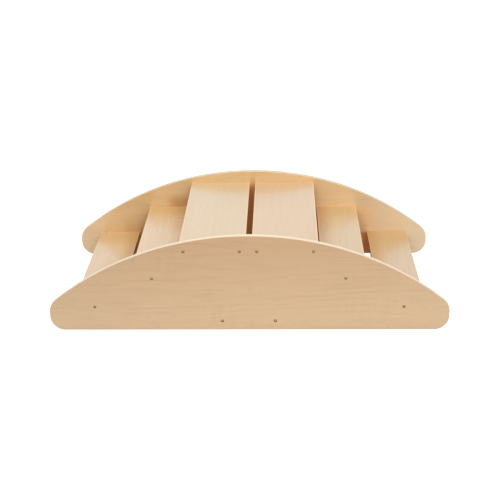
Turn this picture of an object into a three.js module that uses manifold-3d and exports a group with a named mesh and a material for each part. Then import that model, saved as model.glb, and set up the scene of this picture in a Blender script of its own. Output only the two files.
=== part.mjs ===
import * as THREE from 'three';
import { mergeVertices } from 'three/addons/utils/BufferGeometryUtils.js';
import Module from 'manifold-3d';

// Rocking boat with steps: two curved side panels joined by six boards and two hand bars.
// It stands here on the panels' straight edges, with the steps up. Turned over, it rocks on
// the curved edges, with the low steps as seats and the bars between the riders.
// Millimetres. +X runs along the boat, +Y away from the front panel, +Z up.
// The origin is on the floor under the middle of the boat.

const wasm = await Module();
wasm.setup();

// Side panels
const panelLength = 1220;
const panelHeight = 307;
const panelThickness = 18;
const panelTipRadius = 50;
const panelTipHeight = 60;
const panelHeelRadius = 46;
const panelEdgeRound = 1.5;

// Boards that cross between the panels
const boardLength = 610;
const boardThickness = 15;
const boardEdgeRound = 1.2;
const topBoardWidth = 202;
const topBoardDrop = 42;
const centreGap = 19;
const stepWidth = 137.5;

// Where the steps stand: their middles along half of the panel's length, their top faces along
// the height of the top boards
const middleStepPlaceShare = 0.478;
const lowStepPlaceShare = 0.769;
const middleStepRiseShare = 0.67;
const lowStepRiseShare = 0.32;

// Hand bars
const barDiameter = 32;
const barSpacing = 162;
const barHeight = 30;
const barSocketDepth = 6;
const barEndChamfer = 1;

// Countersunk screws with a cross recess
const screwLength = 60;
const screwHeadDiameter = 9.8;
const screwHeadRim = 0.6;
const screwHeadSink = 0.2;
const screwShankDiameter = 5;
const screwTipLength = 6;
const screwEdgeDistance = 16.5;
const stepScrewOffset = 1.4;
const recessSpan = 6.6;
const recessSlot = 2.1;
const recessDepth = 2.6;
const recessFloorShare = 0.5;

// Alignment dowels beside the single screw of a step
const dowelDiameter = 8;
const dowelLength = 36;
const dowelPanelDepth = 11;
const dowelEdgeDistance = 30;
const dowelChamfer = 1;

// Clearances
const fitGap = 0.3;
const holeEndGap = 0.5;
const screwTipGap = 3;
const cutOverrun = 2;

// Facets
const crownSteps = 56;
const endSteps = 11;
const edgeSteps = 3;
const barSides = 40;
const screwSides = 20;
const dowelSides = 12;
const screwTurnStep = 0.7;

// Places worked out from the sizes above
const panelInside = boardLength / 2 + fitGap;
const panelOutside = panelInside + panelThickness;
const topBoardCentre = (centreGap + topBoardWidth) / 2;
const topBoardHeight = panelHeight - topBoardDrop;
const topScrewOffset = topBoardWidth / 2 - screwEdgeDistance;
const stepDowelOffset = stepWidth / 2 - dowelEdgeDistance;
const screwReach = screwLength + screwHeadSink - panelThickness - fitGap;

// Each board on one half of the boat, with the offsets of its screws and dowels from its middle.
const boards = [
  {
    name: 'top_board',
    width: topBoardWidth,
    centre: topBoardCentre,
    top: topBoardHeight,
    screws: [
      { name: '_inner', offset: -topScrewOffset },
      { name: '_outer', offset: topScrewOffset },
    ],
    dowels: [],
  },
  {
    name: 'middle_step',
    width: stepWidth,
    centre: (middleStepPlaceShare * panelLength) / 2,
    top: middleStepRiseShare * topBoardHeight,
    screws: [{ name: '', offset: stepScrewOffset }],
    dowels: [
      { name: '_inner', offset: -stepDowelOffset },
      { name: '_outer', offset: stepDowelOffset },
    ],
  },
  {
    name: 'low_step',
    width: stepWidth,
    centre: (lowStepPlaceShare * panelLength) / 2,
    top: lowStepRiseShare * topBoardHeight,
    screws: [{ name: '', offset: stepScrewOffset }],
    dowels: [
      { name: '_inner', offset: -stepDowelOffset },
      { name: '_outer', offset: stepDowelOffset },
    ],
  },
];

// Both halves of the boat are alike, so each place on the right has a mirrored one on the left.
const halves = [
  { name: 'left', sign: -1, turn: Math.PI },
  { name: 'right', sign: 1, turn: 0 },
];

const panelWood = new THREE.MeshStandardMaterial({ color: 0xdbb78f, roughness: 0.5, metalness: 0 });
const boardWood = new THREE.MeshStandardMaterial({ color: 0xebd7be, roughness: 0.45, metalness: 0 });
const barWood = new THREE.MeshStandardMaterial({ color: 0xe0c096, roughness: 0.45, metalness: 0 });
const dowelWood = new THREE.MeshStandardMaterial({ color: 0xd2ac7d, roughness: 0.7, metalness: 0 });
const screwSteel = new THREE.MeshStandardMaterial({ color: 0xbab6ad, roughness: 0.3, metalness: 1 });

// Turns a closed geometry into a solid that can be cut, leaving out triangles with no area.
function toSolid(geometry) {
  const bare = geometry.clone();
  bare.deleteAttribute('normal');
  bare.deleteAttribute('uv');
  const merged = mergeVertices(bare);
  const corners = merged.index.array;
  const triangles = [];
  for (let i = 0; i < corners.length; i += 3) {
    const [a, b, c] = [corners[i], corners[i + 1], corners[i + 2]];
    if (a !== b && b !== c && c !== a) {
      triangles.push(a, b, c);
    }
  }
  const mesh = new wasm.Mesh({
    numProp: 3,
    vertProperties: Float32Array.from(merged.attributes.position.array),
    triVerts: Uint32Array.from(triangles),
  });
  return new wasm.Manifold(mesh);
}

function toGeometry(solid) {
  const mesh = solid.getMesh();
  const geometry = new THREE.BufferGeometry();
  geometry.setAttribute('position', new THREE.BufferAttribute(mesh.vertProperties, 3));
  geometry.setIndex(new THREE.BufferAttribute(mesh.triVerts, 1));
  geometry.computeVertexNormals();
  return geometry;
}

function cut(solid, cutters) {
  return cutters.reduce((rest, cutter) => rest.subtract(toSolid(cutter)), solid);
}

// Points of a round stretch, from one angle to another about a centre.
function arc(x, y, radius, from, to, steps) {
  const points = [];
  for (let i = 0; i <= steps; i += 1) {
    const angle = from + ((to - from) * i) / steps;
    points.push(new THREE.Vector2(x + radius * Math.cos(angle), y + radius * Math.sin(angle)));
  }
  return points;
}

// The panel's outline: a straight lower edge, at each end a round heel, a short upright stretch
// and a round tip, and one long crown arc that runs into both tips without a corner. The crown's
// radius follows from the length, the height and the tips.
function panelOutline() {
  const heelX = panelLength / 2 - panelHeelRadius;
  const tipX = panelLength / 2 - panelTipRadius;
  const rise = panelHeight - panelTipHeight;
  const crownRadius = (tipX ** 2 + rise ** 2 - panelTipRadius ** 2) / (2 * (rise - panelTipRadius));
  const lean = Math.asin(tipX / (crownRadius - panelTipRadius));
  const up = Math.PI / 2;
  const crown = arc(0, panelHeight - crownRadius, crownRadius, up - lean, up + lean, crownSteps);
  const rightEnd = [
    ...arc(heelX, panelHeelRadius, panelHeelRadius, -up, 0, endSteps),
    ...arc(tipX, panelTipHeight, panelTipRadius, 0, up - lean, endSteps).slice(0, -1),
  ];
  const leftEnd = [
    ...arc(-tipX, panelTipHeight, panelTipRadius, up + lean, 2 * up, endSteps).slice(1),
    ...arc(-heelX, panelHeelRadius, panelHeelRadius, 2 * up, 3 * up, endSteps),
  ];
  return [...rightEnd, ...crown, ...leftEnd];
}

// A round cutter along Z that starts outside the wood, under z = 0, and goes in to a depth.
function drill(diameter, depth, sides) {
  const bit = new THREE.CylinderGeometry(diameter / 2, diameter / 2, depth + cutOverrun, sides);
  bit.rotateX(Math.PI / 2);
  bit.translate(0, 0, (depth - cutOverrun) / 2);
  return bit;
}

// The radii of a screw's head and shank and the end of its cone, all grown by a clearance.
function screwProfile(clearance) {
  const head = screwHeadDiameter / 2 + clearance;
  const shank = screwShankDiameter / 2 + clearance;
  return { head, shank, coneEnd: -screwHeadRim - (head - shank) };
}

// The hole for a screw through the panel, along Z, with the panel's outer face at z = 0.
function screwHoleCutter() {
  const { head, shank, coneEnd } = screwProfile(fitGap);
  const through = -panelThickness - cutOverrun;
  const points = [
    new THREE.Vector2(0, through),
    new THREE.Vector2(shank, through),
    new THREE.Vector2(shank, coneEnd - screwHeadSink),
    new THREE.Vector2(head, -screwHeadRim - screwHeadSink),
    new THREE.Vector2(head, cutOverrun),
    new THREE.Vector2(0, cutOverrun),
  ];
  const cutter = new THREE.LatheGeometry(points, screwSides);
  cutter.rotateX(Math.PI / 2);
  return cutter;
}

// Every screw through a panel, seen from in front: its place, its name and the wood it holds.
function screwPlaces() {
  const places = [];
  for (const half of halves) {
    for (const board of boards) {
      for (const screw of board.screws) {
        places.push({
          name: `${board.name}_${half.name}${screw.name}`,
          x: half.sign * (board.centre + screw.offset),
          z: board.top - boardThickness / 2,
        });
      }
    }
    places.push({ name: `hand_bar_${half.name}`, x: (half.sign * barSpacing) / 2, z: barHeight });
  }
  return places;
}

function dowelPlaces() {
  const places = [];
  for (const half of halves) {
    for (const board of boards) {
      for (const dowel of board.dowels) {
        places.push({
          name: `${board.name}_${half.name}${dowel.name}`,
          x: half.sign * (board.centre + dowel.offset),
          z: board.top - boardThickness / 2,
        });
      }
    }
  }
  return places;
}

// One side panel, flat in XY with its inner face at z = 0 and its outer face up.
function panelGeometry() {
  const slab = new THREE.ExtrudeGeometry(new THREE.Shape(panelOutline()), {
    depth: panelThickness - 2 * panelEdgeRound,
    steps: 1,
    bevelThickness: panelEdgeRound,
    bevelSize: panelEdgeRound,
    bevelOffset: -panelEdgeRound,
    bevelSegments: edgeSteps,
  });
  slab.translate(0, 0, panelEdgeRound);
  const cutters = [];
  for (const { x, z } of screwPlaces()) {
    cutters.push(screwHoleCutter().translate(x, z, panelThickness));
  }
  for (const { x, z } of dowelPlaces()) {
    const hole = drill(dowelDiameter + 2 * fitGap, dowelPanelDepth, dowelSides);
    cutters.push(hole.translate(x, z, 0));
  }
  for (const half of halves) {
    const socket = drill(barDiameter + 2 * fitGap, barSocketDepth, barSides);
    cutters.push(socket.translate((half.sign * barSpacing) / 2, barHeight, 0));
  }
  return toGeometry(cut(toSolid(slab), cutters));
}

// The same hole in both ends of a piece that is centred on its length, along Z.
function endHoles(diameter, depth, sides, offset, length) {
  const near = drill(diameter, depth, sides).translate(offset, 0, -length / 2);
  const far = drill(diameter, depth, sides).rotateX(Math.PI).translate(offset, 0, length / 2);
  return [near, far];
}

// A board with rounded long edges: its width along X, its thickness along Y, its length along Z.
function boardGeometry(board) {
  const x = board.width / 2 - boardEdgeRound;
  const y = boardThickness / 2 - boardEdgeRound;
  const quarter = Math.PI / 2;
  const section = [
    ...arc(x, y, boardEdgeRound, 0, quarter, edgeSteps),
    ...arc(-x, y, boardEdgeRound, quarter, 2 * quarter, edgeSteps),
    ...arc(-x, -y, boardEdgeRound, 2 * quarter, 3 * quarter, edgeSteps),
    ...arc(x, -y, boardEdgeRound, 3 * quarter, 4 * quarter, edgeSteps),
  ];
  const blank = new THREE.ExtrudeGeometry(new THREE.Shape(section), {
    depth: boardLength,
    bevelEnabled: false,
  });
  blank.translate(0, 0, -boardLength / 2);
  const pilot = screwShankDiameter + 2 * fitGap;
  const pilotDepth = screwReach + screwTipGap;
  const dowelHole = dowelDiameter + 2 * fitGap;
  const dowelDepth = dowelLength - dowelPanelDepth + 2 * holeEndGap;
  const cutters = [
    ...board.screws.flatMap(({ offset }) =>
      endHoles(pilot, pilotDepth, screwSides, offset, boardLength)),
    ...board.dowels.flatMap(({ offset }) =>
      endHoles(dowelHole, dowelDepth, dowelSides, offset, boardLength)),
  ];
  return toGeometry(cut(toSolid(blank), cutters));
}

// A round bar along Y with broken ends and a pilot hole in each end.
function barGeometry() {
  const length = boardLength + 2 * fitGap + 2 * (barSocketDepth - holeEndGap);
  const radius = barDiameter / 2;
  const profile = [
    new THREE.Vector2(0, -length / 2),
    new THREE.Vector2(radius - barEndChamfer, -length / 2),
    new THREE.Vector2(radius, -length / 2 + barEndChamfer),
    new THREE.Vector2(radius, length / 2 - barEndChamfer),
    new THREE.Vector2(radius - barEndChamfer, length / 2),
    new THREE.Vector2(0, length / 2),
  ];
  const bar = new THREE.LatheGeometry(profile, barSides).rotateX(Math.PI / 2);
  const pilot = screwShankDiameter + 2 * fitGap;
  const cutters = endHoles(pilot, screwReach + barSocketDepth + screwTipGap, screwSides, 0, length);
  return toGeometry(cut(toSolid(bar), cutters));
}

// A screw along Y: the top of its head at y = 0, its tip below.
function screwGeometry() {
  const { head, shank, coneEnd } = screwProfile(0);
  const profile = [
    new THREE.Vector2(0, -screwLength),
    new THREE.Vector2(shank, screwTipLength - screwLength),
    new THREE.Vector2(shank, coneEnd),
    new THREE.Vector2(head, -screwHeadRim),
    new THREE.Vector2(head, 0),
    new THREE.Vector2(0, 0),
  ];
  const screw = toSolid(new THREE.LatheGeometry(profile, screwSides));
  const arms = [0, Math.PI / 2].map((turn) => recessArm().rotateY(turn));
  return toGeometry(cut(screw, arms));
}

// One arm of the cross recess: a slot whose length narrows towards its floor.
function recessArm() {
  const fullDepth = recessDepth + cutOverrun;
  const slope = (recessSpan * (1 - recessFloorShare)) / recessDepth;
  const mouth = recessSpan + slope * cutOverrun;
  const outline = new THREE.Shape([
    new THREE.Vector2((-recessSpan * recessFloorShare) / 2, 0),
    new THREE.Vector2((recessSpan * recessFloorShare) / 2, 0),
    new THREE.Vector2(mouth / 2, fullDepth),
    new THREE.Vector2(-mouth / 2, fullDepth),
  ]);
  const arm = new THREE.ExtrudeGeometry(outline, { depth: recessSlot, bevelEnabled: false });
  return arm.translate(0, -recessDepth, -recessSlot / 2);
}

// A dowel along Y with broken ends, centred on its length.
function dowelGeometry() {
  const radius = dowelDiameter / 2;
  const profile = [
    new THREE.Vector2(0, -dowelLength / 2),
    new THREE.Vector2(radius - dowelChamfer, -dowelLength / 2),
    new THREE.Vector2(radius, dowelChamfer - dowelLength / 2),
    new THREE.Vector2(radius, dowelLength / 2 - dowelChamfer),
    new THREE.Vector2(radius - dowelChamfer, dowelLength / 2),
    new THREE.Vector2(0, dowelLength / 2),
  ];
  return toGeometry(toSolid(new THREE.LatheGeometry(profile, dowelSides)));
}

function named(name, geometry, material) {
  const mesh = new THREE.Mesh(geometry, material);
  mesh.name = name;
  return mesh;
}

// A side is made as the front one and turned half round for the rear, so along it x changes sign.
function side(name, turned, panelShape, screwShape, dowelShape) {
  const group = new THREE.Group();
  group.rotation.z = turned ? Math.PI : 0;
  const sign = turned ? -1 : 1;
  const panel = named(`${name}_panel`, panelShape, panelWood);
  panel.position.y = -panelInside;
  panel.rotation.x = Math.PI / 2;
  group.add(panel);
  screwPlaces().forEach((place, index) => {
    const screw = named(`${name}_screw_${place.name}`, screwShape, screwSteel);
    screw.position.set(sign * place.x, screwHeadSink - panelOutside, place.z);
    screw.rotation.set(Math.PI, screwTurnStep * index, 0);
    group.add(screw);
  });
  for (const place of dowelPlaces()) {
    const dowel = named(`${name}_dowel_${place.name}`, dowelShape, dowelWood);
    const depth = dowelPanelDepth - holeEndGap - dowelLength / 2;
    dowel.position.set(sign * place.x, -panelInside - depth, place.z);
    group.add(dowel);
  }
  return group;
}

const boat = new THREE.Group();
const panelShape = panelGeometry();
const screwShape = screwGeometry();
const dowelShape = dowelGeometry();
boat.add(side('front', false, panelShape, screwShape, dowelShape));
boat.add(side('rear', true, panelShape, screwShape, dowelShape));

for (const board of boards) {
  const shape = boardGeometry(board);
  for (const half of halves) {
    const plank = named(`${board.name}_${half.name}`, shape, boardWood);
    plank.position.set(half.sign * board.centre, 0, board.top - boardThickness / 2);
    plank.rotation.set(Math.PI / 2, half.turn, 0);
    boat.add(plank);
  }
}

const barShape = barGeometry();
for (const half of halves) {
  const bar = named(`hand_bar_${half.name}`, barShape, barWood);
  bar.position.set((half.sign * barSpacing) / 2, 0, barHeight);
  bar.rotation.x = Math.PI / 2;
  boat.add(bar);
}

export default boat;
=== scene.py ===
import math

import bmesh
import bpy
from mathutils import Matrix, Vector
from mathutils.geometry import tessellate_polygon


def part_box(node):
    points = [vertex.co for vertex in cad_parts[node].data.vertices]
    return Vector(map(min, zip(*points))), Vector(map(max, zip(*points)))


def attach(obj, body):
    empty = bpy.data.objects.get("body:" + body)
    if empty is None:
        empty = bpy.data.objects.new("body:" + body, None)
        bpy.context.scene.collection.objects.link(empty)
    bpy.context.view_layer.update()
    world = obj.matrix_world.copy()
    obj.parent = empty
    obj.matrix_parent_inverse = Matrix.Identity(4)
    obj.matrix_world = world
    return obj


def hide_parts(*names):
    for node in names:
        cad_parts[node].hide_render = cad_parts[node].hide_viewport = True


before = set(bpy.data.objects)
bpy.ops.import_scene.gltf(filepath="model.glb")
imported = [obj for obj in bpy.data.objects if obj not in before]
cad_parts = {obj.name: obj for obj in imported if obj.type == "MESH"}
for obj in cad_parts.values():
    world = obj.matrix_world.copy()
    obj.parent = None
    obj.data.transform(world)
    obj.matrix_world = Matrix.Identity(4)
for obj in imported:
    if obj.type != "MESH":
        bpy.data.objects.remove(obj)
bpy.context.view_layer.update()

MM = 0.001

# The photograph's camera, in metres and degrees, in the frame of the boat
CAMERA_PLACE = (0.0984, -3.5829, 1.5561)
CAMERA_TURN = -1.625
CAMERA_DIP = 21.634
CAMERA_ROLL = -0.765
CAMERA_LENS = 84.65
SENSOR_WIDTH = 36.0

# Light, in metres and watts
SKY_STRENGTH = 0.50
TOP_LAMP = {"place": (0.05, -0.35, 2.0), "size": 2.0, "power": 18.0}
FRONT_LAMP = {"place": (0.7, -3.6, 2.2), "size": 4.0, "power": 55.0}
LAMP_AIM = (0.0, 0.0, 0.15)

# The floor shows white. It has no glow for reflections under the boat, nor for the camera in the
# shade beside the rear panel below the left steps. Each of the two places is a centre and half
# sizes, and its sides are blurred. All are in metres
FLOOR_SIZE = 40.0
FLOOR_COLOUR = (0.66, 0.66, 0.66, 1.0)
FLOOR_GLOW = 0.86
WHITE = (1.0, 1.0, 1.0, 1.0)
UNDER_BOAT = ((0.0, 0.0), (0.53, 0.31))
UNDER_STEPS = ((-0.425, 0.290), (0.04, 0.03))
UNDER_BLUR = 0.04

# Plywood: how many plies make each thickness, and between which shares of a ply from its side the
# line of glue fades in
PANEL_PLIES = 13
BOARD_PLIES = 11
GLUE_WIDTH = (0.10, 0.03)

# Grain: the scale of each kind of mark along it, across it and through the wood, for each metre
FIGURE_SCALES = (1.5, 8.0, 8.0)
STREAK_SCALES = (4.0, 210.0, 210.0)
FIBRE_SCALES = (26.0, 1500.0, 1500.0)
CLOUD_SCALES = (2.4, 6.0, 6.0)
PATCH_SCALES = (2.8, 7.0, 7.0)
CURL_SCALES = (62.0, 11.0, 11.0)
PORE_SCALES = (36.0, 1150.0, 1150.0)
SPECK_SCALES = (1100.0, 1100.0, 1700.0)
SHEET_SMUDGES = (9.0, 14.0, 14.0)
BAR_SMUDGES = (9.0, 30.0, 30.0)

# Growth rings for each metre across the grain, and how far the figure bends them
RINGS = 26.0
RING_BEND = 7.0

# The limits of noise between which patches of curl and pores show, and the middle and the spread
# of the tone
CURL_PATCHES = (0.5, 0.68)
PORES_SHOWN = (0.62, 0.73)
TONE_MIDDLE = 1.21
TONE_SPREAD = 0.35

# Shares of the marks in the tone: bands, streaks, fibres, cloud and curl. Shares in the relief:
# streaks, fibres and pores
TONE_SHARES = (0.5, 0.9, 0.45, 0.55, 0.9)
RELIEF_SHARES = (0.5, 0.5, -0.9)

# How much a surface faces through the sheet where its edge starts to show plies, where the
# rounding between face and edge starts, and where the band along an edge ends; on the boards
# that band gets a painted highlight. Inward is how much an edge faces the boat's middle, and end
# how much solid wood faces along its grain
EDGE_FACING = (0.6, 0.25)
ROUNDING_FACING = (0.995, 0.93)
EDGE_BAND_FACING = (0.3, 0.7)
INWARD_FACING = (0.5, 0.9)
END_FACING = (0.6, 0.95)

# Shares of one colour in another
SHEET_PORES = 0.28
BAR_PORES = 0.35
BAR_END = 0.7
CLOSED_IN_GRAIN = 0.1
CORE_GRAIN = 0.15
CORE_GLUE = 0.5
BOTTOM_DARK_SHARE = 0.45

# Specks in the end grain of a ply: their limits in the noise, and how much of it they let show
SPECKS = (0.25, 0.7, 0.35, 0.85)

# Roughness: a base, and shares of tone, smudges, and edge and edge band or end grain
SHEET_ROUGHNESS = (0.24, 0.08, 0.1, 0.1, 0.06)
BAR_ROUGHNESS = (0.18, 0.1, 0.14, 0.15)

# Bump: its strength, and the height of the relief in metres
SHEET_BUMP = (0.16, 0.0004)
BAR_BUMP = (0.2, 0.0004)
NICKEL_BUMP = (0.2, 0.00005)

# Where the grain of the dowels starts, and how far the grain is moved from one node to the next
DOWEL_GRAIN = (0.3, 0.1, 0.7)
GRAIN_STEP = (0.37, 0.613, 0.291)

# Woods, as linear colours: the light and the dark parts of the grain, in a warm and a pale kind.
# The two panels are one plywood and the boards another; the front and rear panels' woods, and the
# top boards' and steps' woods, differ to paint the light and shade that fall differently on them
FRONT_WOOD = {
    "warm": ((0.585, 0.335, 0.134, 1.0), (0.526, 0.292, 0.111, 1.0)),
    "pale": ((0.702, 0.466, 0.239, 1.0), (0.636, 0.409, 0.201, 1.0)),
}
REAR_WOOD = {
    "warm": ((0.711, 0.460, 0.190, 1.0), (0.652, 0.410, 0.160, 1.0)),
    "pale": ((0.900, 0.610, 0.325, 1.0), (0.837, 0.552, 0.280, 1.0)),
}
TOP_WOOD = {
    "warm": ((0.700, 0.465, 0.170, 1.0), (0.640, 0.410, 0.140, 1.0)),
    "pale": ((0.662, 0.480, 0.255, 1.0), (0.598, 0.421, 0.213, 1.0)),
}
STEP_WOOD = {
    "warm": ((0.690, 0.420, 0.135, 1.0), (0.630, 0.376, 0.115, 1.0)),
    "pale": ((0.760, 0.525, 0.292, 1.0), (0.690, 0.465, 0.252, 1.0)),
}
BAR_WOOD = ((0.740, 0.530, 0.310, 1.0), (0.640, 0.430, 0.235, 1.0))

# Painted shade and painted light for places on the rear panel's inner face
UNDER_BOARDS_SHADE_WOOD = (0.780, 0.320, 0.100, 1.0)
SHADE_WOOD = (0.580, 0.270, 0.040, 1.0)
LIT_WOOD = (0.960, 0.600, 0.275, 1.0)
LOW_GAP_SHADE_WOOD = (0.850, 0.280, 0.060, 1.0)
COOL_WOOD = (0.770, 0.600, 0.385, 1.0)

# Plies beside a narrow gap, darkened as painted shade; a painted highlight for the boards' edges;
# the darker grey along the bottom edge; plies cut along and across their grain, and what lies
# between and in them. The lacquer is a coat over all wood
GAP_SHADE_WOOD = (0.300, 0.125, 0.035, 1.0)
EDGE_HIGHLIGHT_WOOD = (1.000, 0.590, 0.300, 1.0)
BOTTOM_DARK = (0.300, 0.240, 0.180, 1.0)
CORE_LONG = (0.960, 0.780, 0.530, 1.0)
CORE_END = (0.760, 0.560, 0.345, 1.0)
GLUE_LINE = (0.42, 0.265, 0.145, 1.0)
PORE = (0.36, 0.200, 0.095, 1.0)
LACQUER = {"Coat Weight": 1.0, "Coat Roughness": 0.24, "Coat IOR": 1.7}

# Each sheet of plywood: its woods and their tint, how strong its grain is, how bright its plies
# are, how much painted highlight its edge band gets, whether the boards close in its inside (which
# gives its inner face painted shade and light), and how pale it is. Inner is the side of the edge
# toward the boat's middle, with how dark the veneer and the plies are there, as painted shade.
# Paleness is its share at the middle, with how much more for each metre along the grain, across it
# and away from the middle; these gradients paint light and shade. Painted shade at ends is how
# much paler the sheet is between its ends, and ends gives the two distances from the middle
# between which that starts
SHEETS = {
    "front_panel": {
        "wood": FRONT_WOOD, "tint": (0.998, 0.991, 0.970), "grain": 1.5,
        "pale": {"middle": 0.5, "along": 0.15, "across": -4.0},
    },
    "rear_panel": {
        "wood": REAR_WOOD, "tint": (1.022, 1.012, 0.988), "plies": 0.80, "inside": True,
        "pale": {"middle": 0.10, "along": 0.50, "away": 1.4},
    },
    "top_board_left": {
        "wood": TOP_WOOD, "tint": (1.062, 1.065, 1.092), "grain": 0.5, "edge_band": 0.95,
        "pale": {"middle": 0.35, "painted_shade_at_ends": 0.75, "ends": (0.315, 0.265)},
    },
    "top_board_right": {
        "wood": TOP_WOOD, "tint": (1.055, 0.990, 1.000), "grain": 0.5, "edge_band": 0.95,
        "pale": {"middle": 0.3, "painted_shade_at_ends": 0.7, "ends": (0.315, 0.265)},
    },
    "middle_step_left": {
        "wood": STEP_WOOD, "tint": (1.034, 1.019, 1.004), "edge_band": 0.85, "inner": (1, 0.15, 0.0),
        "pale": {
            "middle": -0.37, "along": 1.5, "across": -4.0, "painted_shade_at_ends": 1.16, "ends": (0.28, 0.16),
        },
    },
    "middle_step_right": {
        "wood": STEP_WOOD, "tint": (0.935, 0.960, 0.980), "edge_band": 0.85, "inner": (-1, 0.8, 0.0),
        "pale": {"middle": -0.28, "along": 1.2, "painted_shade_at_ends": 0.91, "ends": (0.28, 0.14)},
    },
    "low_step_left": {
        "wood": STEP_WOOD, "tint": (1.065, 1.053, 1.055), "edge_band": 0.3, "inner": (1, 0.45, 1.0),
        "pale": {
            "middle": -0.42, "along": 2.5, "across": -4.0, "painted_shade_at_ends": 1.13, "ends": (0.26, 0.13),
        },
    },
    "low_step_right": {
        "wood": STEP_WOOD, "tint": (0.925, 0.940, 0.995), "edge_band": 0.3, "inner": (-1, 0.8, 1.0),
        "pale": {"middle": 0.05, "painted_shade_at_ends": 0.6, "ends": (0.24, 0.06)},
    },
}

# Distances from an edge, from the inner edge and from the floor between which a sheet gets a
# painted highlight, painted shade, and a darker grey, in metres
EDGE_BAND_WIDTH = (0.0045, 0.0015)
INNER_WIDTH = (0.060, 0.004)
BOTTOM_DARK_HEIGHT = (0.0040, 0.0010)

# The rear panel's inner face gets painted shade and painted light where the boards close it in.
# It is deeper in colour below the boards, from a sloping line down, as painted shade. It changes
# again in places, one after the other: cooler toward the right end; darker beside the boards' ends
# on the left, as painted shade; and on the right lighter, as painted light, but deeper low in the
# gap between the two steps, as painted shade. Last, it is lighter above the gap between the top
# boards, as painted light. A place has its x, the distances from there and the heights between
# which it fades in, and its share. Lengths are in metres
INNER_FACE = (0.320, 0.310)
INNER_SLOPE = 0.49
INNER_LINE = (0.29, 0.23)
CORNERS = (
    {
        "x": 0.500, "reach": (0.200, 0.090), "heights": (0.400, 0.380), "share": 0.50,
        "wood": COOL_WOOD,
    },
    {
        "x": -0.212, "reach": (0.100, 0.050), "heights": (0.236, 0.192), "share": 0.95,
        "wood": SHADE_WOOD,
    },
    {
        "x": -0.360, "reach": (0.055, 0.020), "heights": (0.130, 0.100), "share": 0.20,
        "wood": SHADE_WOOD,
    },
    {
        "x": -0.415, "reach": (0.055, 0.020), "heights": (0.160, 0.085), "share": 0.45,
        "wood": SHADE_WOOD,
    },
    {
        "x": 0.360, "reach": (0.080, 0.030), "heights": (0.200, 0.160), "share": 0.95,
        "wood": LIT_WOOD,
    },
    {
        "x": 0.380, "reach": (0.070, 0.035), "heights": (0.084, 0.073), "share": 1.0,
        "wood": LOW_GAP_SHADE_WOOD,
    },
    {
        "x": 0.000, "reach": (0.032, 0.010), "heights": (0.250, 0.262), "share": 0.50,
        "wood": LIT_WOOD,
    },
)

# Screws, in millimetres from the face of the head. Each is turned from the one before, in radians
SCREW_LENGTH = 60.0
HEAD_RADIUS = 4.9
HEAD_BEVEL = ((4.66, 0.0), (4.82, -0.07), (4.9, -0.22), (4.9, -0.6))
HEAD_SIDES = 48
SHANK_RADIUS = 2.35
SHANK_PLAIN = 18.0
RECESS_MOUTH = {"half_width": 1.05, "half_span": 3.3, "corner": 0.3}
RECESS_FLOOR = {"half_width": 0.75, "half_span": 1.6, "corner": 0.22}
RECESS_DEPTH = 2.5
RECESS_PIT = 2.6
CORNER_STEPS = 3
THREAD_PITCH = 2.6
THREAD_TURNS = 14
THREAD_SIDES = 16
THREAD_ROOT = 1.8
THREAD_CREST = 2.5
SCREW_TURN = 0.7

# A turn of the thread: radii, and shares of the pitch. Lead is such a share too, from the start of
# the thread up to the ring above it
THREAD_PROFILE = (
    (THREAD_ROOT, 0.0), (THREAD_CREST, 0.30), (THREAD_CREST, 0.42), (THREAD_ROOT, 0.80),
)
THREAD_LEAD = 0.2

# The screws' metal, with painted shade in the recess and a painted highlight at its pit and on
# the head's rim, and the depths and radii between which it changes, in millimetres
NICKEL = (0.156, 0.086, 0.038, 1.0)
NICKEL_RIM_HIGHLIGHT = (0.66, 0.450, 0.265, 1.0)
NICKEL_SHADE = (0.030, 0.017, 0.008, 1.0)
NICKEL_PIT_HIGHLIGHT = (0.96, 0.76, 0.52, 1.0)
SUNK_DEPTH = (-0.05, -0.6)
PIT_DEPTH = (-2.48, -2.52)
RIM_RADIUS = (3.9, 4.7)

# The scales of turning marks, smudges and grit for each metre, and how much they count. Shade and
# dirt is shares of depth, which paints shade in the recess, and of smudges and grit. Roughness is
# a base, and shares of smudges, marks and depth. Relief is shares of marks and grit
TURNING_MARKS = {"Scale": 5200.0, "Detail": 2.0}
NICKEL_SMUDGES = (380.0, 380.0, 380.0)
NICKEL_GRIT = (4200.0, 4200.0, 4200.0)
SMUDGE_LIMITS = (0.5, 0.8)
NICKEL_SHADE_AND_DIRT = (0.92, 0.18, 0.06)
NICKEL_ROUGHNESS = (0.12, 0.22, 0.12, 0.12)
NICKEL_RELIEF = (0.7, 0.25)

# Smoothing, in metres and degrees, and how much a large flat face counts against a small one
MERGE_DISTANCE = 0.000002
SMOOTH_ANGLE = 32.0
FLAT_FACE_WEIGHT = 100


def add(tree, kind, inputs=None, **settings):
    """Adds a node, sets its properties, and links or sets its inputs."""
    node = tree.nodes.new(kind)
    for name, value in settings.items():
        setattr(node, name, value)
    for name, value in (inputs or {}).items():
        if isinstance(value, bpy.types.NodeSocket):
            tree.links.new(value, node.inputs[name])
        else:
            node.inputs[name].default_value = value
    return node


def maths(tree, operation, *values, clamp=False):
    node = add(tree, "ShaderNodeMath", dict(enumerate(values)), operation=operation)
    node.use_clamp = clamp
    return node.outputs["Value"]


def weighted(tree, values, shares):
    """The sum of values, each times its share."""
    total = 0.0
    for value, share in zip(values, shares, strict=True):
        total = maths(tree, "MULTIPLY_ADD", value, share, total)
    return total


def uneven(tree, values, base_and_shares):
    """A base with a share of each value added."""
    base, *shares = base_and_shares
    return maths(tree, "ADD", weighted(tree, values, shares), base)


def ramp(tree, value, low, high, to_low=0.0, to_high=1.0):
    """A smooth step of a value between two limits."""
    limits = {"From Min": low, "From Max": high, "To Min": to_low, "To Max": to_high}
    node = add(
        tree, "ShaderNodeMapRange", {"Value": value, **limits}, interpolation_type="SMOOTHSTEP"
    )
    return node.outputs["Result"]


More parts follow.
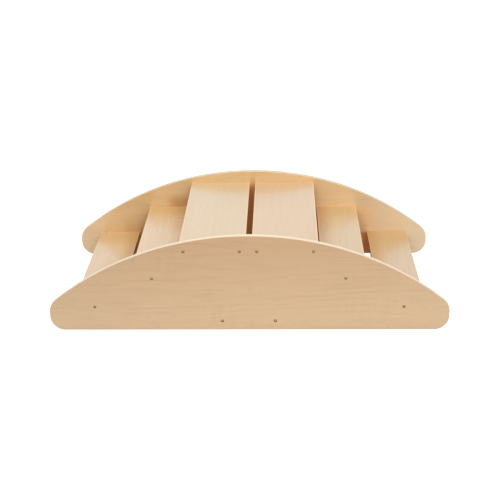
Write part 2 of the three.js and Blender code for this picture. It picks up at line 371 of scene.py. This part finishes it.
def mixed(tree, share, first, second):
    node = add(tree, "ShaderNodeMix", data_type="RGBA")
    sockets = [socket for socket in node.inputs if socket.enabled]
    for socket, value in zip(sockets, (share, first, second)):
        if isinstance(value, bpy.types.NodeSocket):
            tree.links.new(value, socket)
        else:
            socket.default_value = value
    return next(socket for socket in node.outputs if socket.enabled)


def noise(tree, vector, scales, detail=3.0, roughness=0.55, distortion=0.0):
    """Noise in a space stretched by a scale along each axis."""
    stretched = add(tree, "ShaderNodeVectorMath", {0: vector, 1: scales}, operation="MULTIPLY")
    settings = {"Scale": 1.0, "Detail": detail, "Roughness": roughness, "Distortion": distortion}
    node = add(tree, "ShaderNodeTexNoise", {"Vector": stretched.outputs[0], **settings})
    return node.outputs["Fac"]


def axes(tree, vector):
    return add(tree, "ShaderNodeSeparateXYZ", {"Vector": vector}).outputs


def new_material(name):
    material = bpy.data.materials.new(name)
    material.use_nodes = True
    material.node_tree.nodes.clear()
    return material, material.node_tree


def bumped(tree, height, strength, distance):
    settings = {"Height": height, "Strength": strength, "Distance": distance}
    return add(tree, "ShaderNodeBump", settings).outputs["Normal"]


def finish_material(tree, colour, roughness, normal, **constants):
    """Ends a material in one shader. Constants are set on its own sockets."""
    inputs = {"Base Color": colour, "Roughness": roughness, "Normal": normal, **constants}
    shader = add(tree, "ShaderNodeBsdfPrincipled", inputs)
    add(tree, "ShaderNodeOutputMaterial", {"Surface": shader.outputs["BSDF"]})


def grain_place(tree, order):
    """The point on the piece as along the grain, across it and through the wood, in metres."""
    parts = axes(tree, add(tree, "ShaderNodeTexCoord").outputs["Object"])
    turned = {index: parts[axis] for index, axis in enumerate(order)}
    return add(tree, "ShaderNodeCombineXYZ", turned).outputs[0]


def facing(tree, order):
    """How much the surface faces along the grain, across it and through the wood, 0 to 1."""
    parts = axes(tree, add(tree, "ShaderNodeTexCoord").outputs["Normal"])
    return [maths(tree, "ABSOLUTE", parts[axis]) for axis in order]


def moved(tree, vector, offset):
    node = add(tree, "ShaderNodeVectorMath", {0: vector, 1: offset}, operation="ADD")
    return node.outputs[0]


def long_grain(tree, space, strength=1.0):
    """A face cut along the grain: its tone from light to dark, its pores, and its height."""
    figure = noise(tree, space, FIGURE_SCALES, detail=2.0, distortion=0.4)
    rings = weighted(tree, (axes(tree, space)[1], figure), (RINGS, RING_BEND))
    bands = maths(tree, "PINGPONG", rings, 0.5)
    streaks = noise(tree, space, STREAK_SCALES, detail=4.0, roughness=0.62)
    fibres = noise(tree, space, FIBRE_SCALES, detail=2.0)
    cloud = noise(tree, space, CLOUD_SCALES, detail=2.0)
    patch = ramp(tree, noise(tree, space, PATCH_SCALES, detail=1.0), *CURL_PATCHES)
    curl = noise(tree, space, CURL_SCALES, detail=2.0, distortion=0.6)
    curl = maths(tree, "MULTIPLY", maths(tree, "SUBTRACT", curl, 0.5), patch)
    tone = weighted(tree, (bands, streaks, fibres, cloud, curl), TONE_SHARES)
    spread = TONE_SPREAD / strength
    tone = ramp(tree, tone, TONE_MIDDLE - spread, TONE_MIDDLE + spread)
    pores = ramp(tree, noise(tree, space, PORE_SCALES, detail=1.0), *PORES_SHOWN)
    height = weighted(tree, (streaks, fibres, pores), RELIEF_SHARES)
    return tone, pores, height


def plies(tree, depth, low, high, count):
    """The plies through a thickness: whether a ply crosses the grain, and the line of glue."""
    limits = {"From Min": low, "From Max": high, "To Min": 0.0, "To Max": count}
    layer = add(tree, "ShaderNodeMapRange", {"Value": depth, **limits}).outputs["Result"]
    crossed = maths(tree, "MODULO", maths(tree, "FLOOR", layer), 2.0)
    line = ramp(tree, maths(tree, "PINGPONG", layer, 0.5), *GLUE_WIDTH)
    return crossed, line


def sheet_paleness(tree, place, middle, along=0.0, across=0.0, away=0.0, painted_shade_at_ends=0.0, ends=(1, 0)):
    """How pale the sheet is here, 0 to 1. Its gradients paint light and shade."""
    parts = axes(tree, place)
    distance = maths(tree, "ABSOLUTE", parts[0])
    between = ramp(tree, distance, *ends)
    values = (parts[0], parts[1], distance, between)
    share = weighted(tree, values, (along, across, away, painted_shade_at_ends))
    return maths(tree, "ADD", share, middle, clamp=True)


def near_edges(tree, place, half_sizes):
    """1 along the sheet's four edges, 0 inside them."""
    near = 0.0
    for part, half_size in zip(axes(tree, place)[:2], half_sizes):
        distance = maths(tree, "ABSOLUTE", part)
        limits = [half_size - width for width in EDGE_BAND_WIDTH]
        near = maths(tree, "MAXIMUM", ramp(tree, distance, *limits), near)
    return near


def closed_in(tree, veneer, tone):
    """The rear panel's veneer, with painted shade and painted light where the boards close in its
    inner face.
    """
    x, y, z = axes(tree, add(tree, "ShaderNodeTexCoord").outputs["Object"])
    inner = ramp(tree, y, *INNER_FACE)
    line = maths(tree, "MULTIPLY_ADD", maths(tree, "ABSOLUTE", x), INNER_SLOPE, z)
    # Painted shade below the boards, then painted shade and light in places
    changes = [(ramp(tree, line, *INNER_LINE), UNDER_BOARDS_SHADE_WOOD)]
    for corner in CORNERS:
        distance = maths(tree, "ABSOLUTE", maths(tree, "SUBTRACT", x, corner["x"]))
        beside = ramp(tree, distance, *corner["reach"], 0.0, corner["share"])
        low = ramp(tree, z, *corner["heights"])
        changes.append((maths(tree, "MULTIPLY", beside, low), corner["wood"]))
    for share, wood in changes:
        grained = mixed(tree, maths(tree, "MULTIPLY", tone, CLOSED_IN_GRAIN), wood, PORE)
        veneer = mixed(tree, maths(tree, "MULTIPLY", share, inner), veneer, grained)
    return veneer


def tinted(colour, tint):
    return (*(part * share for part, share in zip(colour, tint)), 1.0)


def plywood(name, order, box, count, sheet, offset):
    """Lacquered plywood: a veneer with grain on its faces, and crossing plies on its edges. It
    paints light and shade in places.
    """
    material, tree = new_material(name)
    wood, tint = sheet["wood"], sheet["tint"]
    place = grain_place(tree, order)
    space = moved(tree, place, offset)
    along, across, through = facing(tree, order)
    tone, pores, height = long_grain(tree, space, sheet.get("grain", 1.0))

    low, high = ([corner[axis] for axis in order] for corner in box)
    middle = [-(start + end) / 2 for start, end in zip(low, high)]
    centred = moved(tree, place, middle)
    half_sizes = [(end - start) / 2 for start, end in zip(low, high)]
    # Gradients of paleness paint light and shade over the sheet
    pale_share = sheet_paleness(tree, centred, **sheet["pale"])
    light, dark = (
        mixed(tree, pale_share, tinted(warm, tint), tinted(pale, tint))
        for warm, pale in zip(wood["warm"], wood["pale"])
    )
    veneer = mixed(tree, tone, light, dark)
    if sheet.get("inside"):
        veneer = closed_in(tree, veneer, tone)
    # Painted shade on the veneer near the inner edge
    if "inner" in sheet:
        side, darkness, ply_darkness = sheet["inner"]
        distance = maths(tree, "MULTIPLY_ADD", axes(tree, centred)[1], -side, half_sizes[1])
        veneer = mixed(tree, ramp(tree, distance, *INNER_WIDTH, 0.0, darkness), veneer, SHADE_WOOD)
    veneer = mixed(tree, maths(tree, "MULTIPLY", pores, SHEET_PORES), veneer, PORE)

    crossed, line = plies(tree, axes(tree, place)[2], low[2], high[2], count)
    end_long = maths(tree, "MULTIPLY", along, maths(tree, "SUBTRACT", 1.0, crossed))
    end_share = maths(tree, "MULTIPLY_ADD", across, crossed, end_long)
    specks = noise(tree, space, SPECK_SCALES, detail=2.0)
    end_share = maths(tree, "MULTIPLY", end_share, ramp(tree, specks, *SPECKS))
    bright = [sheet.get("plies", 1.0)] * 3
    core = mixed(tree, end_share, tinted(CORE_LONG, bright), tinted(CORE_END, bright))
    core = mixed(tree, maths(tree, "MULTIPLY", tone, CORE_GRAIN), core, tinted(CORE_END, bright))
    core = mixed(tree, maths(tree, "MULTIPLY", line, CORE_GLUE), core, GLUE_LINE)
    edge = ramp(tree, through, *EDGE_FACING)
    # Painted shade on plies that face the boat's middle
    if "inner" in sheet:
        normal = axes(tree, add(tree, "ShaderNodeTexCoord").outputs["Normal"])[0]
        inward = maths(tree, "MULTIPLY", normal, side)
        inward = ramp(tree, inward, *INWARD_FACING, 0.0, ply_darkness)
        core = mixed(tree, inward, core, GAP_SHADE_WOOD)

    # On the boards, a painted highlight along the edges
    if "edge_band" in sheet:
        edge_band = near_edges(tree, centred, half_sizes)
        edge_band = maths(tree, "MULTIPLY", edge_band, ramp(tree, through, *EDGE_BAND_FACING))
        veneer = mixed(tree, maths(tree, "MULTIPLY", edge_band, sheet["edge_band"]), veneer, EDGE_HIGHLIGHT_WOOD)
    else:
        rounding = ramp(tree, through, *ROUNDING_FACING)
        edge_band = maths(tree, "MULTIPLY", rounding, ramp(tree, through, *EDGE_BAND_FACING))
    colour = mixed(tree, edge, veneer, core)
    # Darker and greyer at the bottom edge, near the floor
    floor_height = axes(tree, add(tree, "ShaderNodeTexCoord").outputs["Object"])[2]
    bottom_dark = maths(tree, "MULTIPLY", ramp(tree, floor_height, *BOTTOM_DARK_HEIGHT), BOTTOM_DARK_SHARE)
    colour = mixed(tree, bottom_dark, colour, BOTTOM_DARK)

    height = maths(tree, "SUBTRACT", height, maths(tree, "MULTIPLY", line, edge))
    smudges = noise(tree, space, SHEET_SMUDGES, detail=3.0)
    roughness = uneven(tree, (tone, smudges, edge, edge_band), SHEET_ROUGHNESS)
    finish_material(tree, colour, roughness, bumped(tree, height, *SHEET_BUMP), **LACQUER)
    return material


def solid_wood(name, order, wood, offset):
    """Lacquered solid wood with its grain along the piece, and end grain on its ends."""
    material, tree = new_material(name)
    space = moved(tree, grain_place(tree, order), offset)
    along = facing(tree, order)[0]
    tone, pores, height = long_grain(tree, space)
    colour = mixed(tree, tone, *wood)
    colour = mixed(tree, maths(tree, "MULTIPLY", pores, BAR_PORES), colour, PORE)
    colour = mixed(tree, ramp(tree, along, *END_FACING, 0.0, BAR_END), colour, CORE_END)
    smudges = noise(tree, space, BAR_SMUDGES, detail=3.0)
    roughness = uneven(tree, (tone, smudges, along), BAR_ROUGHNESS)
    finish_material(tree, colour, roughness, bumped(tree, height, *BAR_BUMP), **LACQUER)
    return material


def nickel(name):
    """Plated steel with turning marks, smudges and grit, painted shade in the recess, and painted
    highlights on the head's rim and at the pit.
    """
    material, tree = new_material(name)
    place = add(tree, "ShaderNodeTexCoord").outputs["Object"]
    parts = axes(tree, place)
    squares = [maths(tree, "POWER", parts[axis], 2.0) for axis in (0, 1)]
    radius = maths(tree, "SQRT", maths(tree, "ADD", *squares))
    marks = {"W": radius, **TURNING_MARKS}
    marks = add(tree, "ShaderNodeTexNoise", marks, noise_dimensions="1D").outputs["Fac"]
    smudges = noise(tree, place, NICKEL_SMUDGES, detail=3.0)
    grit = noise(tree, place, NICKEL_GRIT, detail=1.0)
    sunk = ramp(tree, parts[2], *(depth * MM for depth in SUNK_DEPTH))
    deep = ramp(tree, parts[2], *(depth * MM for depth in PIT_DEPTH))
    rim = ramp(tree, radius, *(limit * MM for limit in RIM_RADIUS))
    smudged = ramp(tree, smudges, *SMUDGE_LIMITS)
    shade_and_dirt = weighted(tree, (sunk, smudged, grit), NICKEL_SHADE_AND_DIRT)
    # Painted shade in the recess, with smudges and grit, and a painted highlight on the head's rim
    colour = mixed(tree, shade_and_dirt, mixed(tree, rim, NICKEL, NICKEL_RIM_HIGHLIGHT), NICKEL_SHADE)
    # Painted highlight at the pit of the recess
    colour = mixed(tree, deep, colour, NICKEL_PIT_HIGHLIGHT)
    roughness = uneven(tree, (smudges, marks, sunk), NICKEL_ROUGHNESS)
    normal = bumped(tree, weighted(tree, (marks, grit), NICKEL_RELIEF), *NICKEL_BUMP)
    finish_material(tree, colour, roughness, normal, Metallic=1.0)
    return material


def smoothing_group():
    """Geometry nodes that join a node's triangles and keep only its real edges sharp."""
    group = bpy.data.node_groups.new("smooth_by_angle", "GeometryNodeTree")
    group.interface.new_socket("Geometry", in_out="INPUT", socket_type="NodeSocketGeometry")
    group.interface.new_socket("Geometry", in_out="OUTPUT", socket_type="NodeSocketGeometry")
    start = add(group, "NodeGroupInput").outputs[0]
    joined = add(
        group, "GeometryNodeMergeByDistance", {"Geometry": start, "Distance": MERGE_DISTANCE}
    )
    angle = add(group, "GeometryNodeInputMeshEdgeAngle").outputs["Unsigned Angle"]
    sharp = add(
        group,
        "FunctionNodeCompare",
        {"A": angle, "B": math.radians(SMOOTH_ANGLE)},
        data_type="FLOAT",
        operation="GREATER_THAN",
    )
    inputs = {
        "Mesh": joined.outputs[0],
        "Remove Custom": True,
        "Edge Sharpness": sharp.outputs["Result"],
        "Face Sharpness": False,
    }
    normals = add(group, "GeometryNodeSetMeshNormal", inputs, mode="SHARPNESS")
    add(group, "NodeGroupOutput", {0: normals.outputs["Mesh"]})
    return group


def smooth(obj, group):
    """Smooths an object by its own angles, and keeps its flat faces flat."""
    obj.modifiers.new("join_and_sharpen", "NODES").node_group = group
    flat = obj.modifiers.new("flat_faces_stay_flat", "WEIGHTED_NORMAL")
    flat.mode = "FACE_AREA"
    flat.weight = FLAT_FACE_WEIGHT
    flat.keep_sharp = True


def dress_nodes():
    """Gives every wooden node its own wood, and smooths it."""
    group = smoothing_group()
    dowel_wood = solid_wood("dowel_wood", (1, 0, 2), BAR_WOOD, DOWEL_GRAIN)
    for index, (name, obj) in enumerate(sorted(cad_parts.items())):
        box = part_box(name)
        offset = [step * index for step in GRAIN_STEP]
        if name in SHEETS:
            panel = name.endswith("_panel")
            order = (0, 2, 1) if panel else (1, 0, 2)
            count = PANEL_PLIES if panel else BOARD_PLIES
            material = plywood(name + "_plywood", order, box, count, SHEETS[name], offset)
        elif name.startswith("hand_bar"):
            material = solid_wood(name + "_wood", (1, 0, 2), BAR_WOOD, offset)
        elif "_dowel_" in name:
            material = dowel_wood
        else:
            continue
        obj.data.materials.clear()
        obj.data.materials.append(material)
        smooth(obj, group)


def circle(radius, height, sides):
    """The points of a level ring."""
    step = 2 * math.pi / sides
    return [
        Vector((radius * math.cos(step * i), radius * math.sin(step * i), height))
        for i in range(sides)
    ]


def corner_points(centre_x, centre_y, radius, start, end):
    """A round corner about a centre, from one angle to another in degrees."""
    points = []
    for i in range(CORNER_STEPS + 1):
        angle = math.radians(start + (end - start) * i / CORNER_STEPS)
        points.append((centre_x + radius * math.cos(angle), centre_y + radius * math.sin(angle)))
    return points


def cross_outline(half_width, half_span, corner, height):
    """The outline of a cross with rounded corners, counter-clockwise."""
    end = half_span - corner
    side = half_width - corner
    bay = half_width + corner
    arm = [
        *corner_points(end, -side, corner, -90, 0),
        *corner_points(end, side, corner, 0, 90),
        *corner_points(bay, bay, corner, -90, -180),
    ]
    points = []
    for turn in range(4):
        turned = Matrix.Rotation(turn * math.pi / 2, 3, "Z")
        points.extend(turned @ Vector((x, y, height)) for x, y in arm)
    return points


class Shell:
    """Points and faces of a closed shape, added ring by ring."""

    def __init__(self):
        self.points = []
        self.faces = []

    def ring(self, points):
        first = len(self.points)
        self.points.extend(points)
        return list(range(first, len(self.points)))

    def band(self, upper, lower):
        count = len(upper)
        for i in range(count):
            j = (i + 1) % count
            self.faces.append((upper[i], upper[j], lower[j], lower[i]))

    def cone(self, ring, tip):
        point = self.ring([tip])[0]
        for i, corner in enumerate(ring):
            self.faces.append((corner, ring[(i + 1) % len(ring)], point))


def add_recess(shell, rim):
    """The flat face of the head inside its rim, and the cross recess with its tapered walls."""
    mouth = shell.ring(cross_outline(height=0.0, **RECESS_MOUTH))
    floor = shell.ring(cross_outline(height=-RECESS_DEPTH, **RECESS_FLOOR))
    loops = [[shell.points[i] for i in rim], [shell.points[i] for i in mouth]]
    corners = rim + mouth
    for triangle in tessellate_polygon(loops):
        shell.faces.append(tuple(corners[i] for i in triangle))
    shell.band(mouth, floor)
    shell.cone(floor, Vector((0, 0, -RECESS_PIT)))


def add_thread(shell, start):
    """The thread below a height, as one helix, with a ring above it and one below."""
    count = THREAD_SIDES * THREAD_TURNS
    turns = []
    for i in range(count + 1):
        angle = 2 * math.pi * i / THREAD_SIDES
        drop = start - THREAD_PITCH * i / THREAD_SIDES
        turns.append(shell.ring([
            Vector((r * math.cos(angle), r * math.sin(angle), drop - share * THREAD_PITCH))
            for r, share in THREAD_PROFILE
        ]))
    below = start - THREAD_PITCH * (THREAD_TURNS + 1)
    top = shell.ring(circle(THREAD_ROOT, start + THREAD_LEAD * THREAD_PITCH, THREAD_SIDES))
    bottom = shell.ring(circle(THREAD_ROOT, below, THREAD_SIDES))
    for i in range(count):
        here, there = turns[i], turns[i + 1]
        for k in range(len(THREAD_PROFILE) - 1):
            shell.faces.append((here[k], there[k], there[k + 1], here[k + 1]))
        if i + THREAD_SIDES < count:
            next_here, next_there = turns[i + THREAD_SIDES], turns[i + THREAD_SIDES + 1]
            shell.faces.append((here[-1], there[-1], next_there[0], next_here[0]))
    last = count - THREAD_SIDES
    for j in range(THREAD_SIDES):
        k = (j + 1) % THREAD_SIDES
        shell.faces.append((top[j], top[k], turns[j + 1][0], turns[j][0]))
        shell.faces.append((turns[last + j][-1], turns[last + j + 1][-1], bottom[k], bottom[j]))
    shell.faces.append((top[0], *turns[0], turns[THREAD_SIDES][0]))
    shell.faces.append((*turns[count], bottom[0], turns[last][-1]))
    return top, bottom


def screw_mesh(material):
    """A countersunk screw with its face at z = 0 and its point below."""
    shell = Shell()
    rings = [shell.ring(circle(r, z, HEAD_SIDES)) for r, z in HEAD_BEVEL]
    add_recess(shell, rings[0])
    cone_end = HEAD_BEVEL[-1][1] - (HEAD_RADIUS - SHANK_RADIUS)
    for height in (cone_end, -SHANK_PLAIN):
        rings.append(shell.ring(circle(SHANK_RADIUS, height, HEAD_SIDES)))
    for upper, lower in zip(rings, rings[1:]):
        shell.band(upper, lower)
    top, bottom = add_thread(shell, -SHANK_PLAIN - THREAD_PITCH)
    share = HEAD_SIDES // THREAD_SIDES
    for j in range(THREAD_SIDES):
        span = [rings[-1][(share * j + i) % HEAD_SIDES] for i in range(share + 1)]
        shell.faces.append((*span, top[(j + 1) % THREAD_SIDES], top[j]))
    shell.cone(bottom, Vector((0, 0, -SCREW_LENGTH)))

    mesh = bpy.data.meshes.new("screw")
    mesh.from_pydata([point * MM for point in shell.points], [], shell.faces)
    work = bmesh.new()
    work.from_mesh(mesh)
    bmesh.ops.recalc_face_normals(work, faces=work.faces)
    work.to_mesh(mesh)
    work.free()
    mesh.shade_smooth()
    mesh.set_sharp_from_angle(angle=math.radians(SMOOTH_ANGLE))
    mesh.materials.append(material)
    return mesh


def make_screws():
    """Puts a detailed screw in the place of each plain one, with its face where that one's is."""
    mesh = screw_mesh(nickel("screw_nickel"))
    names = sorted(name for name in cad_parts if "_screw_" in name)
    for index, name in enumerate(names):
        low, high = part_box(name)
        rear = name.startswith("rear")
        face = high.y if rear else low.y
        place = Matrix.Translation(((low.x + high.x) / 2, face, (low.z + high.z) / 2))
        half_turn = Matrix.Rotation(math.pi if rear else 0.0, 4, "Z")
        tilt = Matrix.Rotation(math.pi / 2, 4, "X")
        turn = Matrix.Rotation(SCREW_TURN * index, 4, "Z")
        screw = bpy.data.objects.new("fine_" + name, mesh.copy())
        screw.matrix_world = place @ half_turn @ tilt @ turn
        bpy.context.scene.collection.objects.link(screw)
        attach(screw, "root")
        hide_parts(name)


def seen_directly(tree):
    """1 for what the camera, a reflection or a pane of glass sees, 0 for light on the boat."""
    path = add(tree, "ShaderNodeLightPath").outputs
    seen = maths(tree, "MAXIMUM", path["Is Camera Ray"], path["Is Glossy Ray"])
    return maths(tree, "MAXIMUM", seen, path["Is Transmission Ray"])


def make_world():
    world = bpy.data.worlds.new("studio")
    world.use_nodes = True
    tree = world.node_tree
    tree.nodes.clear()
    dim = (SKY_STRENGTH, SKY_STRENGTH, SKY_STRENGTH, 1.0)
    colour = mixed(tree, seen_directly(tree), dim, WHITE)
    sky = add(tree, "ShaderNodeBackground", {"Color": colour, "Strength": 1.0})
    add(tree, "ShaderNodeOutputWorld", {"Surface": sky.outputs[0]})
    bpy.context.scene.world = world


def floor_part(tree, place, centre, half_sizes):
    """1 on a rectangle of the floor, with soft edges."""
    share = 1.0
    for part, middle, half_size in zip(place, centre, half_sizes):
        distance = maths(tree, "ABSOLUTE", maths(tree, "SUBTRACT", part, middle))
        inside = ramp(tree, distance, half_size + UNDER_BLUR, half_size - UNDER_BLUR)
        share = maths(tree, "MULTIPLY", inside, share)
    return share


def make_floor():
    """A floor that glows to the camera, so that it shows white and keeps a faint shadow."""
    material, tree = new_material("floor_white")
    place = list(axes(tree, add(tree, "ShaderNodeTexCoord").outputs["Object"]))
    under = floor_part(tree, place, *UNDER_BOAT)
    shade = floor_part(tree, place, *UNDER_STEPS)
    camera_ray = add(tree, "ShaderNodeLightPath").outputs["Is Camera Ray"]
    bright = maths(tree, "MULTIPLY", camera_ray, maths(tree, "SUBTRACT", 1.0, shade))
    hidden = maths(tree, "SUBTRACT", 1.0, under)
    shown = maths(tree, "MAXIMUM", hidden, bright)
    strength = maths(tree, "MULTIPLY", seen_directly(tree), shown)
    strength = maths(tree, "MULTIPLY", strength, FLOOR_GLOW)
    matt = add(tree, "ShaderNodeBsdfDiffuse", {"Color": FLOOR_COLOUR})
    glow = add(tree, "ShaderNodeEmission", {"Strength": strength})
    both = add(tree, "ShaderNodeAddShader", {0: matt.outputs[0], 1: glow.outputs[0]})
    add(tree, "ShaderNodeOutputMaterial", {"Surface": both.outputs[0]})
    half = FLOOR_SIZE / 2
    corners = [(-half, -half, 0), (half, -half, 0), (half, half, 0), (-half, half, 0)]
    mesh = bpy.data.meshes.new("floor")
    mesh.from_pydata(corners, [], [(0, 1, 2, 3)])
    mesh.materials.append(material)
    floor = bpy.data.objects.new("floor", mesh)
    bpy.context.scene.collection.objects.link(floor)


def make_lamp(name, place, size, power):
    light = bpy.data.lights.new(name, "AREA")
    light.shape = "DISK"
    light.size = size
    light.energy = power
    lamp = bpy.data.objects.new(name, light)
    lamp.location = place
    aim = Vector(LAMP_AIM) - Vector(place)
    lamp.rotation_euler = aim.to_track_quat("-Z", "Y").to_euler()
    bpy.context.scene.collection.objects.link(lamp)


def make_camera():
    data = bpy.data.cameras.new("camera")
    data.lens = CAMERA_LENS
    data.sensor_width = SENSOR_WIDTH
    camera = bpy.data.objects.new("camera", data)
    turn = Matrix.Rotation(-math.radians(CAMERA_TURN), 4, "Z")
    dip = Matrix.Rotation(math.radians(90.0 - CAMERA_DIP), 4, "X")
    roll = Matrix.Rotation(math.radians(CAMERA_ROLL), 4, "Z")
    camera.matrix_world = Matrix.Translation(CAMERA_PLACE) @ turn @ dip @ roll
    bpy.context.scene.collection.objects.link(camera)
    bpy.context.scene.camera = camera


make_camera()
make_world()
make_floor()
make_lamp("top_lamp", **TOP_LAMP)
make_lamp("front_lamp", **FRONT_LAMP)
dress_nodes()
make_screws()
bpy.context.scene.view_settings.view_transform = "Standard"
